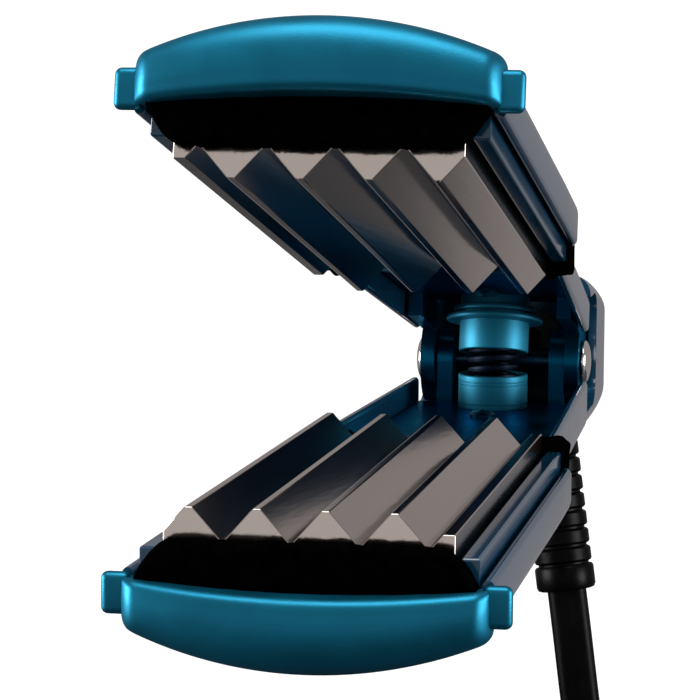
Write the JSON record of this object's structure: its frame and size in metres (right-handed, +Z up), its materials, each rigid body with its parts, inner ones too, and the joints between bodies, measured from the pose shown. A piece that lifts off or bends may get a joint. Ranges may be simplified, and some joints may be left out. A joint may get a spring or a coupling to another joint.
{
  "type": "hair crimper",
  "caption": "Hand-held hair crimper with two sprung, hinged arms, meshing toothed metal plates, and a flat mains cord on a swivelling strain relief.",
  "frame": {"origin": "middle of the hinge pin, in the middle of the stretch that a hand closes round", "axes": "+X to the right, along the hinge pin; +Y back along the closed tool to the tail and the cord; +Z up, across the gap between the two jaws"},
  "size_m": [0.079, 0.3441, 0.1825],
  "materials": {
    "deep_blue": "high-gloss lacquer",
    "satin_blue": "satin metallic paint",
    "inner_blue": "gloss metallic paint",
    "carrier": "dark gloss",
    "titanium": "polished titanium coating",
    "felt": "ragged black fibre",
    "ceramic": "fired ceramic",
    "spring_steel": "bright steel",
    "silicone": "moulded silicone",
    "chrome": "polished",
    "nylon": "moulded nylon",
    "board": "solder mask",
    "component": "moulded",
    "lens": "clear amber",
    "black_plastic": "fine texture",
    "cord_rubber": "smooth, slightly glossy",
    "brass": "bright"
  },
  "bodies": {
    "lower_arm": {"lower_shell": "deep_blue", "lower_inner_cover": "inner_blue", "lower_end_cap": "satin_blue", "lower_plate_tray": "carrier", "lower_plate": "titanium", "lower_heater": "ceramic", "lower_heater_clamp": "spring_steel", "lower_float_pads": "silicone", "lower_front_insulator": "felt", "lower_rear_insulator": "felt", "lower_hinge_bracket": "spring_steel", "lower_spring_cup": "satin_blue", "lower_screws": "spring_steel", "tail_housing": "deep_blue", "circuit_board": "board", "board_components": "component", "thermal_fuse": "ceramic", "status_lamp": "lens", "dial_shaft_seat": "component", "hinge_pin": "spring_steel", "hinge_caps": "chrome", "jaw_spring": "spring_steel"},
    "upper_arm": {"upper_shell": "deep_blue", "upper_inner_cover": "inner_blue", "upper_end_cap": "satin_blue", "upper_plate_tray": "carrier", "upper_plate": "titanium", "upper_heater": "ceramic", "upper_heater_clamp": "spring_steel", "upper_float_pads": "silicone", "upper_front_insulator": "felt", "upper_rear_insulator": "felt", "upper_hinge_yoke": "satin_blue", "upper_spring_guide": "satin_blue", "upper_screws": "spring_steel", "hinge_bushes": "nylon", "temperature_sensor": "ceramic"},
    "button": {"power_button": "black_plastic"},
    "dial": {"temperature_dial": "black_plastic"},
    "swivel": {"swivel_barrel": "black_plastic", "swivel_pin": "spring_steel"},
    "cord": {"strain_relief": "cord_rubber", "cord_run": "cord_rubber", "cord_hank": "cord_rubber", "cord_tie": "black_plastic", "plug_body": "cord_rubber", "plug_blades": "brass"}
  },
  "joints": [
    {"name": "jaw_hinge", "type": "hinge", "parent": "lower_arm", "child": "upper_arm", "pos_m": [0, 0, 0], "axis": [1, 0, 0], "range_deg": [0, 12.9], "stiffness_Nm_per_rad": 1.5, "springref_deg": -20.05, "deforming": ["jaw_spring"]},
    {"name": "button_press", "type": "slide", "parent": "lower_arm", "child": "button", "axis": [0, -0.1123, 0.9937], "range_m": [0, 0.0012], "stiffness_N_per_m": 600, "springref_m": -0.0008},
    {"name": "dial_turn", "type": "hinge", "parent": "lower_arm", "child": "dial", "pos_m": [0, -0.06776, -0.02376], "axis": [0, 0.1123, -0.9937], "range_deg": [0, 270]},
    {"name": "cord_swivel", "type": "hinge", "parent": "lower_arm", "child": "swivel", "pos_m": [0, 0.06, 0.0045], "axis": [0, 1, 0], "range_deg": [-170, 170]},
    {"name": "cord_swing", "type": "hinge", "parent": "swivel", "child": "cord", "pos_m": [0, 0.06, 0.0045], "axis": [0.9895, 0, 0.1444], "range_deg": [0, 85]}
  ]
}
